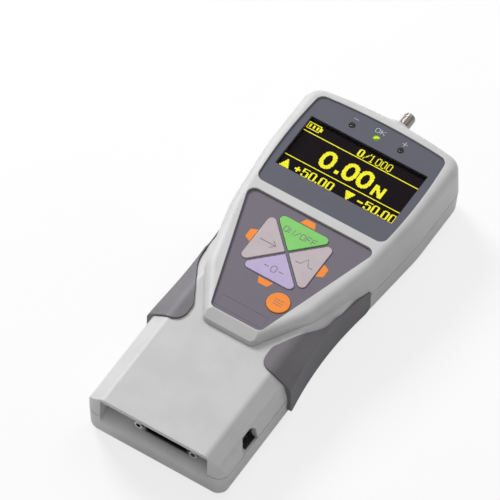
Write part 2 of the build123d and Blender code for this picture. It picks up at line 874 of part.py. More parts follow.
with BuildPart() as display_overlay:
    add(plate(overlay_outline(), overlay_low, sheet))
    with BuildSketch(Plane.XY.offset(overlay_low)):
        add(window_outline())
        with Locations(*[(x, led_y) for x in led_places.values()]):
            Circle(led_hole_radius)
    extrude(amount=sheet, mode=Mode.SUBTRACT)
display_overlay.part.label = "display_overlay"
export_step(display_overlay.part, "parts/display_overlay.step")

with BuildPart() as display_window:
    add(plate(window_outline(-thread_gap), overlay_low, sheet))
display_window.part.label = "display_window"
export_step(display_window.part, "parts/display_window.step")

with BuildPart() as display_frame:
    add(plate(frame_outline(), display_board_low + board, roof + sheet - display_board_low - board))
    add(plate(window_outline(collar), roof, overlay_low - roof))
    add(plate(window_outline(-2 * thread_gap - 3 * fit_gap), 0, far), mode=Mode.SUBTRACT)
    with BuildSketch():
        with Locations((0, glass_y)):
            Rectangle(2 * (glass_half_width + fit_gap), 2 * (glass_half_height + fit_gap))
    extrude(amount=roof, mode=Mode.SUBTRACT)
display_frame.part.label = "display_frame"
export_step(display_frame.part, "parts/display_frame.step")

with BuildPart() as display_glass:
    with BuildSketch(Plane.XY.offset(display_board_low + board)):
        with Locations((0, glass_y)):
            Rectangle(2 * glass_half_width, 2 * glass_half_height)
    extrude(amount=board)
display_glass.part.label = "display_glass"
export_step(display_glass.part, "parts/display_glass.step")

with BuildPart() as display_board:
    add(plate(display_board_outline(), display_board_low, board))
    add(columns(display_post_places, screw_radius + fit_gap, 0, far), mode=Mode.SUBTRACT)
display_board.part.label = "display_board"
export_step(display_board.part, "parts/display_board.step")


for name, places, seat in (
    ("display_board_screws", display_post_places, display_board_low),
    ("keypad_board_screws", keypad_post_places, keypad_board_low),
):
    with BuildPart() as screws:
        add(columns(places, screw_radius, seat - pan_head_height / 2, seat + board + screw_bite))
        add(columns(places, pan_head_radius, seat - pan_head_height, seat))
    screws.part.label = name
    export_step(screws.part, f"parts/{name}.step")

for name, x in led_places.items():
    with BuildPart() as led:
        with BuildSketch(Plane.XY.offset(display_board_low + board)):
            with Locations((x, led_y)):
                Circle(led_radius)
        extrude(amount=overlay_low - display_board_low - board)
        fillet(led.edges().group_by(Axis.Z)[-1], led_radius - 3 * fit_gap)
    led.part.label = name
    export_step(led.part, f"parts/{name}.step")

with BuildPart() as key_panel:
    add(plate(keypad_outline(), keypad_low, sheet))
    for outline in keys.values():
        add(plate(grown(outline, key_clearance), 0, far), mode=Mode.SUBTRACT)
key_panel.part.label = "key_panel"
export_step(key_panel.part, "parts/key_panel.step")

for name, outline in keys.items():
    with BuildPart() as key:
        add(plate(outline, roof - fit_gap, key_top - roof + fit_gap))
        fillet(key.edges().group_by(Axis.Z)[-1], key_proud / 2)
        add(plate(grown(outline, flange), flange_low, flange_thickness))
        add(columns([key_centres[name]], key_stem_radius, key_low, flange_low))
    key.part.label = name
    export_step(key.part, f"parts/{name}.step")

with BuildPart() as keypad_board:
    add(plate(keypad_board_outline(), keypad_board_low, board))
    add(columns(keypad_post_places, screw_radius + fit_gap, 0, far), mode=Mode.SUBTRACT)
keypad_board.part.label = "keypad_board"
export_step(keypad_board.part, "parts/keypad_board.step")

with BuildPart() as key_domes:
    for centre in key_centres.values():
        with BuildSketch(Plane.XY.offset(keypad_board_low + board)):
            with Locations(centre):
                Circle(dome_radius)
        extrude(amount=dome_height, taper=dome_slope)
key_domes.part.label = "key_domes"
export_step(key_domes.part, "parts/key_domes.step")

with BuildPart() as main_board:
    add(block((-main_board_half_width, main_board_half_width), (main_board_low_y, main_board_high_y),
              (main_board_low, seam_height)))
    add(columns(main_post_places, screw_radius + fit_gap, 0, far), mode=Mode.SUBTRACT)
main_board.part.label = "main_board"
export_step(main_board.part, "parts/main_board.step")

with BuildPart() as main_board_screws:
    add(columns(main_post_places, screw_radius, main_board_low - main_screw_bite, seam_height + seat_gap))
    add(columns(main_post_places, pan_head_radius, seam_height, seam_height + pan_head_height))
main_board_screws.part.label = "main_board_screws"
export_step(main_board_screws.part, "parts/main_board_screws.step")

with BuildPart() as io_connector:
    add(block((connector_x - connector_half_width, connector_x + connector_half_width),
              (inner_tail_y + fit_gap, inner_tail_y + connector_length), (seam_height, connector_top)))
    # Shell through the wall, its hollow, and the tongue inside it
    add(block((connector_x - shell_half_width, connector_x + shell_half_width),
              (socket_back_y - shell_reach, inner_tail_y + shell_wall),
              (connector_z - shell_height / 2, connector_z + shell_height / 2)))
    add(block((connector_x - shell_half_width + shell_wall, connector_x + shell_half_width - shell_wall),
              (tail_y, inner_tail_y),
              (connector_z - shell_height / 2 + shell_wall, connector_z + shell_height / 2 - shell_wall)),
        mode=Mode.SUBTRACT)
    add(block((connector_x - shell_half_width + 2 * shell_wall, connector_x + shell_half_width - 2 * shell_wall),
              (socket_back_y - shell_reach + shell_wall, inner_tail_y + shell_wall),
              (connector_z - tongue_height / 2, connector_z + tongue_height / 2)))
    thread_end_y = inner_tail_y + jackscrew_thread_length
    add(rods(jackscrew_places, jackscrew_thread + thread_gap, inner_tail_y, thread_end_y + seat_gap),
        mode=Mode.SUBTRACT)
io_connector.part.label = "io_connector"
export_step(io_connector.part, "parts/io_connector.step")

with BuildPart() as io_jackscrews:
    with BuildSketch(Plane.XZ.offset(jackscrew_reach - socket_back_y)):
        with Locations(*jackscrew_places):
            RegularPolygon(jackscrew_radius, 6)
    extrude(amount=-(jackscrew_reach + socket_wall + fit_gap))
    add(rods(jackscrew_places, jackscrew_thread, inner_tail_y, thread_end_y))
    add(rods(jackscrew_places, jackscrew_bore, tail_y, socket_back_y - jackscrew_reach + jackscrew_bore_depth),
        mode=Mode.SUBTRACT)
io_jackscrews.part.label = "io_jackscrews"
export_step(io_jackscrews.part, "parts/io_jackscrews.step")

with BuildPart() as dc_jack:
    with BuildSketch(Plane.YZ.offset(jack_face_x)):
        add(jack_outline(-fit_gap))
    extrude(amount=-jack_depth)
    sill_half_length = jack_half_length - fit_gap
    add(block((jack_face_x, jack_face_x + jack_sill), (jack_y - sill_half_length, jack_y + sill_half_length),
              (seam_height, seam_height + jack_sill_height)))
    # Round socket with its centre pin
    with BuildSketch(Plane.YZ.offset(jack_face_x)):
        with Locations((jack_y, seam_height + jack_height / 2)):
            Circle(jack_hole_radius)
            Circle(jack_pin_radius, mode=Mode.SUBTRACT)
    extrude(amount=jack_hole_floor - jack_depth, mode=Mode.SUBTRACT)
dc_jack.part.label = "dc_jack"
export_step(dc_jack.part, "parts/dc_jack.step")

with BuildPart() as battery_pack:
    with BuildSketch(Plane.XZ.offset(-battery_low_y)):
        with Locations((0, wall + cell_radius + thread_gap)):
            with GridLocations(2 * cell_radius, 1, cell_count, 1):
                Circle(cell_radius)
    extrude(amount=-battery_length)
battery_pack.part.label = "battery_pack"
export_step(battery_pack.part, "parts/battery_pack.step")

with BuildPart() as load_cell:
    cell_top = cell_low + cell_thickness
    add(block((-cell_half_width, cell_half_width), (cell_low_y, cell_high_y), (cell_low, cell_top)))
    # Two slits from opposite sides make the S
    high_slit_y = cell_high_y - cell_arm
    low_slit_y = cell_low_y + cell_arm
    add(block((-cell_half_width, cell_half_width - cell_post), (high_slit_y - cell_slit, high_slit_y), (0, far)),
        mode=Mode.SUBTRACT)
    add(block((cell_post - cell_half_width, cell_half_width), (low_slit_y, low_slit_y + cell_slit), (0, far)),
        mode=Mode.SUBTRACT)
    for low, high in ((0, shaft_height - gauge_web / 2), (shaft_height + gauge_web / 2, far)):
        add(columns([(0, gauge_y)], gauge_well_radius, low, high), mode=Mode.SUBTRACT)
    # Threaded holes for the shaft and the bolt
    cell_thread_hole = cell_thread_radius + thread_gap
    add(boss(cell_thread_hole, high_slit_y + thread_bite / 2, cell_high_y), mode=Mode.SUBTRACT)
    add(boss(cell_thread_hole, cell_low_y, low_slit_y - thread_bite / 2), mode=Mode.SUBTRACT)
load_cell.part.label = "load_cell"
export_step(load_cell.part, "parts/load_cell.step")

with BuildPart() as strain_gauges:
    for low in (shaft_height - gauge_web / 2 - gauge_foil, shaft_height + gauge_web / 2):
        with BuildSketch(Plane.XY.offset(low)):
            with Locations((-gauge_foil_width, gauge_y), (gauge_foil_width, gauge_y)):
                Rectangle(gauge_foil_width, gauge_foil_length, rotation=45)
        extrude(amount=gauge_foil)
strain_gauges.part.label = "strain_gauges"
export_step(strain_gauges.part, "parts/strain_gauges.step")

with BuildPart() as sensing_shaft:
    shank_low_y = cell_high_y + nut_length + fit_gap
    add(boss(stud_radius, shank_low_y, tip_y))
    chamfer(sensing_shaft.edges().group_by(Axis.Y)[-1], stud_chamfer)
    add(boss(shank_radius, shank_low_y, tip_y - stud_length))
    add(boss(cell_thread_radius, high_slit_y + thread_bite, shank_low_y))
sensing_shaft.part.label = "sensing_shaft"
export_step(sensing_shaft.part, "parts/sensing_shaft.step")

with BuildPart() as lock_nut:
    with BuildSketch(Plane.XZ.offset(-cell_high_y)):
        with Locations((0, shaft_height)):
            RegularPolygon(nut_flats / 2, 6, major_radius=False)
            Circle(cell_thread_hole, mode=Mode.SUBTRACT)
    extrude(amount=-nut_length)
lock_nut.part.label = "lock_nut"
export_step(lock_nut.part, "parts/lock_nut.step")

with BuildPart() as cell_bracket:
    foot_top = bracket_low + bracket_foot
    add(block((-bracket_half_width, bracket_half_width), (bracket_y - bracket_length, cell_low_y - thread_gap),
              (bracket_low, foot_top)))
    add(block((-bracket_half_width, bracket_half_width), (bracket_y, cell_low_y - thread_gap),
              (bracket_low, cell_top)))
    # Ribs between the foot and the upright
    for rib_x in (-bracket_half_width, bracket_half_width - bracket_rib):
        with BuildSketch(Plane.YZ.offset(rib_x)):
            with BuildLine():
                Polyline(
                    (bracket_y - bracket_length, foot_top), (bracket_y, foot_top), (bracket_y, cell_top),
                    close=True,
                )
            make_face()
        extrude(amount=bracket_rib)
    add(boss(cell_thread_radius + fit_gap, bracket_y, cell_low_y), mode=Mode.SUBTRACT)
    add(columns(bracket_screw_places, case_screw_radius + fit_gap, 0, far), mode=Mode.SUBTRACT)
cell_bracket.part.label = "cell_bracket"
export_step(cell_bracket.part, "parts/cell_bracket.step")

with BuildPart() as cell_bolt:
    add(boss(cell_thread_radius, bracket_y, low_slit_y - thread_bite))
    add(boss(bolt_head_radius, bracket_y - bolt_head_length, bracket_y))
cell_bolt.part.label = "cell_bolt"
export_step(cell_bolt.part, "parts/cell_bolt.step")

with BuildPart() as bracket_screws:
    add(columns(bracket_screw_places, case_screw_radius, 2 * seat_gap, foot_top))
    add(columns(bracket_screw_places, washer_head_radius, foot_top, foot_top + washer_head_height))
bracket_screws.part.label = "bracket_screws"
export_step(bracket_screws.part, "parts/bracket_screws.step")

with BuildPart() as case_screws:
    head_low = case_screw_sink - case_screw_head_height
    add(columns(case_screw_places, case_screw_radius, case_screw_sink, seam_height + case_screw_bite))
    add(columns(case_screw_places, case_screw_head_radius, head_low, case_screw_sink))
    add(columns(case_screw_places, case_screw_socket, head_low, head_low + case_screw_socket), mode=Mode.SUBTRACT)
case_screws.part.label = "case_screws"
export_step(case_screws.part, "parts/case_screws.step")

with BuildPart() as mounting_inserts:
    add(columns(insert_places, insert_radius, insert_sink, insert_depth))
    add(columns(insert_places, insert_bore, 0, far), mode=Mode.SUBTRACT)
mounting_inserts.part.label = "mounting_inserts"
export_step(mounting_inserts.part, "parts/mounting_inserts.step")
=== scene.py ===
# The looks of a hand-held digital force gauge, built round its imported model, in metres.
# Z points out of the display, Y towards the sensing stud, X to the right of the reader.
import json
import math

import bmesh
import bpy
from mathutils import Matrix, Vector

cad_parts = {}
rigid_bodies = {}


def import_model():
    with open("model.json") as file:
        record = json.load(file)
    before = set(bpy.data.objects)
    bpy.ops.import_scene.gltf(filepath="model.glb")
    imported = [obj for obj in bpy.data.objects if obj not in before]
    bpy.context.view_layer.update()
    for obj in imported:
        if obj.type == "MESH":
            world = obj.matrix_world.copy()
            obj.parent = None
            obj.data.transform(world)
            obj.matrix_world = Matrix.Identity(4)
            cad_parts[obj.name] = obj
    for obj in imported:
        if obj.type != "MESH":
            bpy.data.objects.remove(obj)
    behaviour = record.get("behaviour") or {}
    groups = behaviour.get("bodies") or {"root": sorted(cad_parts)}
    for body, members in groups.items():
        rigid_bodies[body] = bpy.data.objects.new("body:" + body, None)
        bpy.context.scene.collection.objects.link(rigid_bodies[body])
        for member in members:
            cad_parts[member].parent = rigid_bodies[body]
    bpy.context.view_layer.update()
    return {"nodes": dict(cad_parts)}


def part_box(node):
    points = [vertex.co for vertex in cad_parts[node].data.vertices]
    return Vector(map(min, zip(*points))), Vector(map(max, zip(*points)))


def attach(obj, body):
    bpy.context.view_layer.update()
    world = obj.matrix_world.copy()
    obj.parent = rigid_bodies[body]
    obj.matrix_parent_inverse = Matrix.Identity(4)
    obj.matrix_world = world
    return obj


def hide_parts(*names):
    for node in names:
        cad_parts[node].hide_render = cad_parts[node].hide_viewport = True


for spare in list(bpy.data.objects):
    bpy.data.objects.remove(spare)

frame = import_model()
nodes = frame["nodes"]

MM = 0.001
PRINT_HEIGHT = 0.03 * MM
CIRCLE_STEPS = 64


# Shader building blocks

EDGE_RADIUS = 0.35 * MM
METAL_EDGE_RADIUS = 0.12 * MM
# The side of the lit lamp's dome that glows in full; turned away from it, the glow is dimmed by painted
# shade.
DOME_UNSHADED_SIDE = (-0.45, 0.85, 0.25)


def begin(name, color, roughness, metallic=0.0, specular=0.5):
    """A new material with its main shader set to plain values."""
    material = bpy.data.materials.new(name)
    material.use_nodes = True
    shader = material.node_tree.nodes["Principled BSDF"]
    shader.inputs["Base Color"].default_value = (*color, 1)
    shader.inputs["Roughness"].default_value = roughness
    shader.inputs["Metallic"].default_value = metallic
    shader.inputs["Specular IOR Level"].default_value = specular
    return material, material.node_tree, shader


def place(tree, stretch=(1, 1, 1)):
    """Coordinates on the object itself, stretched along its axes."""
    source = tree.nodes.new("ShaderNodeTexCoord")
    mapping = tree.nodes.new("ShaderNodeMapping")
    mapping.inputs["Scale"].default_value = stretch
    tree.links.new(source.outputs["Object"], mapping.inputs["Vector"])
    return mapping.outputs["Vector"]


def noise(tree, where, size, detail=3.0, roughness=0.5):
    """Noise whose grain is about as wide as size, in metres."""
    texture = tree.nodes.new("ShaderNodeTexNoise")
    texture.inputs["Scale"].default_value = 1 / size
    texture.inputs["Detail"].default_value = detail
    texture.inputs["Roughness"].default_value = roughness
    tree.links.new(where, texture.inputs["Vector"])
    return texture.outputs["Fac"]


def ramp(tree, value, low, high, start=0.35, end=0.65):
    """Colours between two ends, along a value."""
    colours = tree.nodes.new("ShaderNodeValToRGB")
    colours.color_ramp.elements[0].position = start
    colours.color_ramp.elements[1].position = end
    colours.color_ramp.elements[0].color = (*low, 1)
    colours.color_ramp.elements[1].color = (*high, 1)
    tree.links.new(value, colours.inputs["Fac"])
    return colours.outputs["Color"]


def between(tree, value, low, high):
    """A number between two ends, along a value from 0 to 1."""
    spread = tree.nodes.new("ShaderNodeMapRange")
    spread.inputs["To Min"].default_value = low
    spread.inputs["To Max"].default_value = high
    tree.links.new(value, spread.inputs["Value"])
    return spread.outputs["Result"]


def bumps(tree, shader, height, depth, soften=0.0):
    """Relief on the shader from a height, as deep as depth, with edges softened over a radius, in metres."""
    bump = tree.nodes.new("ShaderNodeBump")
    bump.inputs["Distance"].default_value = depth
    tree.links.new(height, bump.inputs["Height"])
    if soften > 0:
        edge = tree.nodes.new("ShaderNodeBevel")
        edge.samples = 6
        edge.inputs["Radius"].default_value = soften
        tree.links.new(edge.outputs["Normal"], bump.inputs["Normal"])
    tree.links.new(bump.outputs["Normal"], shader.inputs["Normal"])


def shade(color, factor):
    """A colour made lighter or darker."""
    return tuple(min(1.0, c * factor) for c in color)


def moulded(name, color, roughness=0.5, grain=0.35 * MM, relief=0.012 * MM, patch=14 * MM, spread=0.035):
    """Moulded plastic or rubber with an eroded grain, faint flow patches, uneven gloss and soft edges."""
    material, tree, shader = begin(name, color, roughness)
    where = place(tree)
    tone = ramp(tree, noise(tree, where, patch), shade(color, 1 - spread), shade(color, 1 + spread))
    tree.links.new(tone, shader.inputs["Base Color"])
    fine = noise(tree, where, grain, detail=2.0)
    tree.links.new(between(tree, fine, roughness - 0.06, roughness + 0.08), shader.inputs["Roughness"])
    bumps(tree, shader, fine, relief, EDGE_RADIUS)
    return material


def silicone(name, color):
    """The fine, even rubber of the keys."""
    return moulded(name, color, roughness=0.45, grain=0.2 * MM, relief=0.005 * MM, patch=6 * MM)


def film(name, color, roughness=0.42, specular=0.5):
    """A printed polyester sheet: a fine stipple under an even satin."""
    material, tree, shader = begin(name, color, roughness, specular=specular)
    where = place(tree)
    stipple = noise(tree, where, 0.22 * MM, detail=1.0)
    tree.links.new(ramp(tree, stipple, shade(color, 0.93), shade(color, 1.07)), shader.inputs["Base Color"])
    tree.links.new(between(tree, noise(tree, where, 9 * MM), roughness - 0.05, roughness + 0.07),
                   shader.inputs["Roughness"])
    bumps(tree, shader, stipple, 0.006 * MM)
    return material


def metal(name, color, roughness, stretch=(1, 1, 1), grain=0.3 * MM, relief=0.004 * MM):
    """Bare or plated metal with machining marks drawn out along its axes."""
    material, tree, shader = begin(name, color, roughness, metallic=1.0)
    marks = noise(tree, place(tree, stretch), grain, detail=4.0)
    tree.links.new(ramp(tree, marks, shade(color, 0.86), shade(color, 1.08)), shader.inputs["Base Color"])
    tree.links.new(between(tree, marks, roughness * 0.7, roughness * 1.35), shader.inputs["Roughness"])
    bumps(tree, shader, marks, relief, METAL_EDGE_RADIUS)
    return material


def clear_window(name):
    """A thin clear window: what lies behind shows through, under a faint gloss."""
    material, tree, shader = begin(name, (0.008, 0.007, 0.008), 0.08, specular=0.12)
    haze = noise(tree, place(tree), 6 * MM)
    tree.links.new(between(tree, haze, 0.05, 0.12), shader.inputs["Roughness"])
    shader.inputs["Alpha"].default_value = 0.05
    return material


def lit(name, color, strength, base):
    """A part that gives its own light, uneven from place to place."""
    material, tree, shader = begin(name, base, 0.35)
    cloud = noise(tree, place(tree), 1.2 * MM, detail=1.0)
    glow = ramp(tree, cloud, shade(color, 0.9), color)
    tree.links.new(glow, shader.inputs["Emission Color"])
    shader.inputs["Emission Strength"].default_value = strength
    return material


def lamp_dome_with_painted_shade(name, color, strength, base):
    """A lit lamp's dome that glows in full on one side and is dimmed on the other by a painted crescent of
    shade.
    """
    material, tree, shader = begin(name, base, 0.2)
    surface = tree.nodes.new("ShaderNodeNewGeometry")
    lean = tree.nodes.new("ShaderNodeVectorMath")
    lean.operation = "DOT_PRODUCT"
    lean.inputs[1].default_value = DOME_UNSHADED_SIDE
    tree.links.new(surface.outputs["Normal"], lean.inputs[0])
    # Painted shade: the glow falls to an eighth on the side of the dome turned away, a dark crescent of
    # shade in the lamp's hole.
    glow = ramp(tree, lean.outputs["Value"], shade(color, 0.12), color, start=0.22, end=0.42)
    tree.links.new(glow, shader.inputs["Emission Color"])
    shader.inputs["Emission Strength"].default_value = strength
    return material


def board(name, mask):
    """A circuit board: solder mask over faint tracks."""
    material, tree, shader = begin(name, mask, 0.35)
    tracks = tree.nodes.new("ShaderNodeTexBrick")
    tracks.inputs["Scale"].default_value = 1 / (3 * MM)
    tracks.inputs["Color1"].default_value = (*shade(mask, 1.15), 1)
    tracks.inputs["Color2"].default_value = (*shade(mask, 0.9), 1)
    tracks.inputs["Mortar"].default_value = (*shade(mask, 1.8), 1)
    tracks.inputs["Mortar Size"].default_value = 0.03
    tree.links.new(place(tree), tracks.inputs["Vector"])
    tree.links.new(tracks.outputs["Color"], shader.inputs["Base Color"])
    bumps(tree, shader, tracks.outputs["Fac"], 0.02 * MM)
    return material


# Materials

CASE = (0.56, 0.555, 0.555)
GRIP = (0.15, 0.143, 0.155)
OVERLAY = (0.085, 0.085, 0.118)
KEYPAD = (0.14, 0.122, 0.155)
GREEN = (0.20, 0.58, 0.13)
PURPLE = (0.46, 0.385, 0.60)
KEY_GREY = (0.49, 0.42, 0.44)
ORANGE = (0.88, 0.245, 0.010)
YELLOW = (1.0, 0.93, 0.01)
YELLOW_UNLIT = (0.3, 0.28, 0.01)
LAMP_GREEN = (0.55, 0.90, 0.02)
LAMP_UNLIT = (0.12, 0.2, 0.02)
LAMP_OFF = (0.02, 0.024, 0.02)
GLASS = (0.010, 0.006, 0.008)
MASK_GREEN = (0.02, 0.13, 0.06)
STEEL = (0.55, 0.55, 0.56)
TURNED_STEEL = (0.55, 0.53, 0.51)
ALUMINIUM = (0.75, 0.76, 0.78)
BRASS = (0.72, 0.52, 0.22)
FOIL = (0.55, 0.30, 0.08)
SLEEVE = (0.06, 0.18, 0.42)
BLACK = (0.012, 0.012, 0.013)
INK_WHITE = (0.62, 0.63, 0.68)
INK_DARK = (0.17, 0.16, 0.18)
INK_LINE = (0.07, 0.075, 0.10)

materials = {
    "case": moulded("case_plastic", CASE),
    "grip": moulded("grip_rubber", GRIP, roughness=0.55, grain=0.25 * MM, relief=0.02 * MM, patch=20 * MM,
                    spread=0.08),
    "overlay": film("overlay_film", OVERLAY),
    "keypad": film("keypad_film", KEYPAD),
    "window": clear_window("window"),
    "glass": film("display_glass", GLASS, roughness=0.15, specular=0.15),
    "black": moulded("black_plastic", BLACK, roughness=0.45),
    "board": board("circuit_board", MASK_GREEN),
    "green": silicone("key_green", GREEN),
    "purple": silicone("key_purple", PURPLE),
    "grey": silicone("key_grey", KEY_GREY),
    "orange": silicone("key_orange", ORANGE),
    "lamp_off": moulded("lamp_off", LAMP_OFF, roughness=0.2, relief=0.001 * MM),
    # The lit lamp, its dome's glow with a painted crescent of shade on one side.
    "lamp_on": lamp_dome_with_painted_shade("lamp_on", LAMP_GREEN, 1.3, LAMP_UNLIT),
    "steel": metal("plated_steel", STEEL, 0.28),
    "turned": metal("turned_steel", TURNED_STEEL, 0.16, stretch=(1, 8, 1)),
    "aluminium": metal("milled_aluminium", ALUMINIUM, 0.35, stretch=(6, 1, 1)),
    "brass": metal("insert_brass", BRASS, 0.3, stretch=(1, 1, 6)),
    "foil": film("gauge_foil", FOIL, roughness=0.3),
    "sleeve": moulded("cell_sleeve", SLEEVE, roughness=0.25, patch=30 * MM),
    "dots": lit("display_dots", YELLOW, 1.0, YELLOW_UNLIT),
    "ink_white": film("ink_white", INK_WHITE),
    "ink_dark": film("ink_dark", INK_DARK),
    "ink_line": film("ink_line", INK_LINE),
}

NODE_MATERIALS = {
    "front_case": "case", "rear_case": "case", "grip_left": "grip", "grip_right": "grip",
    "display_overlay": "overlay", "display_window": "window", "display_frame": "black",
    "display_glass": "glass", "display_board": "board", "display_board_screws": "steel",
    "led_low": "lamp_off", "led_ok": "lamp_on", "led_high": "lamp_off", "key_panel": "keypad",
    "key_power": "green", "key_send": "grey", "key_zero": "purple", "key_peak": "grey",
    "key_menu": "orange", "keypad_board": "board", "keypad_board_screws": "steel", "key_domes": "steel",
    "main_board": "board", "main_board_screws": "steel", "io_connector": "black",
    "io_jackscrews": "steel", "dc_jack": "black", "battery_pack": "sleeve", "load_cell": "aluminium",
    "strain_gauges": "foil", "sensing_shaft": "turned", "lock_nut": "steel", "cell_bracket": "aluminium",
    "cell_bolt": "steel", "bracket_screws": "steel", "case_screws": "steel", "mounting_inserts": "brass",
}
for name, kind in NODE_MATERIALS.items():
    nodes[name].data.materials.clear()
    nodes[name].data.materials.append(materials[kind])


# Mesh building blocks

def add_piece(name, form, kind, body, smooth=True):
    """A new piece from a finished mesh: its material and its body."""
    mesh = bpy.data.meshes.new(name)
    bmesh.ops.recalc_face_normals(form, faces=form.faces)
    form.to_mesh(mesh)
    form.free()
    for face in mesh.polygons:
        face.use_smooth = smooth
    piece = bpy.data.objects.new(name, mesh)
    bpy.context.scene.collection.objects.link(piece)
    mesh.materials.append(materials[kind])
    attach(piece, body)
    return piece


def centre_of(node):
    """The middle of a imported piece, seen from above, and the height of its top."""
    low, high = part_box(node)
    return (low.x + high.x) / 2, (low.y + high.y) / 2, high.z


def raised(form, outline, low, height):
    """Adds a flat outline, raised into a thin plate, to a mesh."""
    bottom = [form.verts.new((x, y, low)) for x, y in outline]
    top = [form.verts.new((x, y, low + height)) for x, y in outline]
    form.faces.new(top)
    form.faces.new(list(reversed(bottom)))
    for i in range(len(outline)):
        j = (i + 1) % len(outline)
        form.faces.new((bottom[i], bottom[j], top[j], top[i]))


def arc(centre, radius, start, end, steps):
    """Points along an arc, with the angles in degrees."""
    return [
        (centre[0] + radius * math.cos(math.radians(start + (end - start) * i / steps)),
         centre[1] + radius * math.sin(math.radians(start + (end - start) * i / steps)))
        for i in range(steps + 1)
    ]


def strokes(name, lines, width, low, kind, body):
    """Printed line work: low rounded ridges along open or closed lines."""
    curve = bpy.data.curves.new(name, "CURVE")
    curve.dimensions = "3D"
    curve.bevel_depth = width / 2
    curve.bevel_resolution = 2
    curve.use_fill_caps = True
    for points, closed in lines:
        spline = curve.splines.new("POLY")
        spline.points.add(len(points) - 1)
        for point, (x, y) in zip(spline.points, points):
            point.co = (x, y, 0, 1)
        spline.use_cyclic_u = closed
    holder = bpy.data.objects.new(name + "_line", curve)
    bpy.context.scene.collection.objects.link(holder)
    bpy.context.view_layer.update()
    mesh = bpy.data.meshes.new_from_object(holder.evaluated_get(bpy.context.evaluated_depsgraph_get()))
    bpy.data.objects.remove(holder)
    bpy.data.curves.remove(curve)
    flat = 2 * PRINT_HEIGHT / width
    for vertex in mesh.vertices:
        vertex.co.z = low + vertex.co.z * flat
    form = bmesh.new()
    form.from_mesh(mesh)
    bpy.data.meshes.remove(mesh)
    return add_piece(name, form, kind, body)


# The lit display

COLUMNS = 128
ROWS = 64
DOT = 0.48 * MM
DOT_GAP = 0.05 * MM
RULE_ROWS = (14, 47)
CELL_SIGN = (0, 13, 3, 10)
CELL_BARS = (2, 6, 10)
COUNT_ROW = 4
COUNT_MARKS = (("0", 57), ("0", 58), ("/", 64), ("1", 71), ("0", 77), ("0", 83), ("0", 89))
READING_ROW = 22
READING_COLUMNS = (31, 56, 72)
READING_ZERO = (15, 21, 4)
READING_POINT = (50, 54, 38, 42)
UNIT_LEFT = 91
UNIT_TOP = 31
UNIT_ROWS = 13
UNIT_SLANT = 8
UNIT_POSTS = (0, 1, 2, 9, 10, 11)
LIMIT_ROW = 52
LIMITS = ((1, "up", "+50.00"), (70, "down", "-50.00"))
LIMIT_SIGN_WIDTH = 16
ROUNDNESS = 2.4
THIN = {
    "0": (".###.", "#...#", "#...#", "#...#", "#...#", "#...#", "#...#", "#...#", ".###."),
    "1": (".#.", "##.", ".#.", ".#.", ".#.", ".#.", ".#.", ".#.", "###"),
    "/": (".....#", ".....#", "....#.", "...#..", "..##..", "..#...", ".#....", "#.....", "#....."),
}
BOLD = {
    "0": (".#####.", "##...##", "##...##", "##...##", "##...##",
          "##...##", "##...##", "##...##", "##...##", ".#####."),
    "5": ("#######", "##.....", "##.....", "######.", "##...##",
          ".....##", ".....##", "##...##", "##...##", ".#####."),
    "+": (".......", ".......", "..##...", "..##...", "######.",
          "######.", "..##...", "..##...", ".......", "......."),
    "-": (".......", ".......", ".......", ".......", "######.",
          "######.", ".......", ".......", ".......", "......."),
    ".": ("..", "..", "..", "..", "..", "..", "..", "..", "##", "##"),
    "up": (".....##.....", ".....##.....", "....####....", "....####....", "...######...", "...######...",
           "..########..", "..########..", ".##########.", ".##########."),
    "down": (".##########.", ".##########.", "..########..", "..########..", "...######...", "...######...",
             "....####....", "....####....", ".....##.....", ".....##....."),
}


def glyph(lit_dots, pattern, column, row):
    """Lights one small sign."""
    for down, line in enumerate(pattern):
        for along, mark in enumerate(line):
            if mark == "#":
                lit_dots.add((column + along, row + down))


def big_zero(lit_dots, column, row, width, height, stroke):
    """Lights one large, rounded zero."""
    for along in range(width):
        for down in range(height):
            x = (along + 0.5) / width * 2 - 1
            y = (down + 0.5) / height * 2 - 1
            inner_x = x * width / (width - 2 * stroke)
            inner_y = y * height / (height - 2 * stroke)
            outer = abs(x) ** ROUNDNESS + abs(y) ** ROUNDNESS
            inner = abs(inner_x) ** ROUNDNESS + abs(inner_y) ** ROUNDNESS
            if outer <= 1 < inner:
                lit_dots.add((column + along, row + down))


def block(lit_dots, left, right, top, bottom):
    """Lights a filled block of dots, up to but without its right column and its bottom row."""
    lit_dots.update((column, row) for column in range(left, right) for row in range(top, bottom))


def display_dots():
    """Which dots of the display are lit: a cell sign, two rules, a count, a large reading and two limits."""
    lit_dots = set()
    for row in RULE_ROWS:
        block(lit_dots, 0, COLUMNS, row, row + 1)
    left, right, top, bottom = CELL_SIGN
    for row in (top, bottom):
        block(lit_dots, left, right + 1, row, row + 1)
    for column in (left, right):
        block(lit_dots, column, column + 1, top, bottom + 1)
    for column in (right + 1, *CELL_BARS):
        block(lit_dots, column, column + 2, top + 2, bottom - 1)
    for mark, column in COUNT_MARKS:
        glyph(lit_dots, THIN[mark], column, COUNT_ROW)
    for column in READING_COLUMNS:
        big_zero(lit_dots, column, READING_ROW, *READING_ZERO)
    block(lit_dots, *READING_POINT)
    for row in range(UNIT_ROWS):
        slant = round(row * UNIT_SLANT / (UNIT_ROWS - 1))
        for column in (*UNIT_POSTS, slant, slant + 1, slant + 2, slant + 3):
            lit_dots.add((UNIT_LEFT + column, UNIT_TOP + row))
    for start, sign, figures in LIMITS:
        glyph(lit_dots, BOLD[sign], start, LIMIT_ROW)
        column = start + LIMIT_SIGN_WIDTH
        for mark in figures:
            glyph(lit_dots, BOLD[mark], column, LIMIT_ROW)
            column += len(BOLD[mark][0]) + 1
    return sorted(lit_dots)


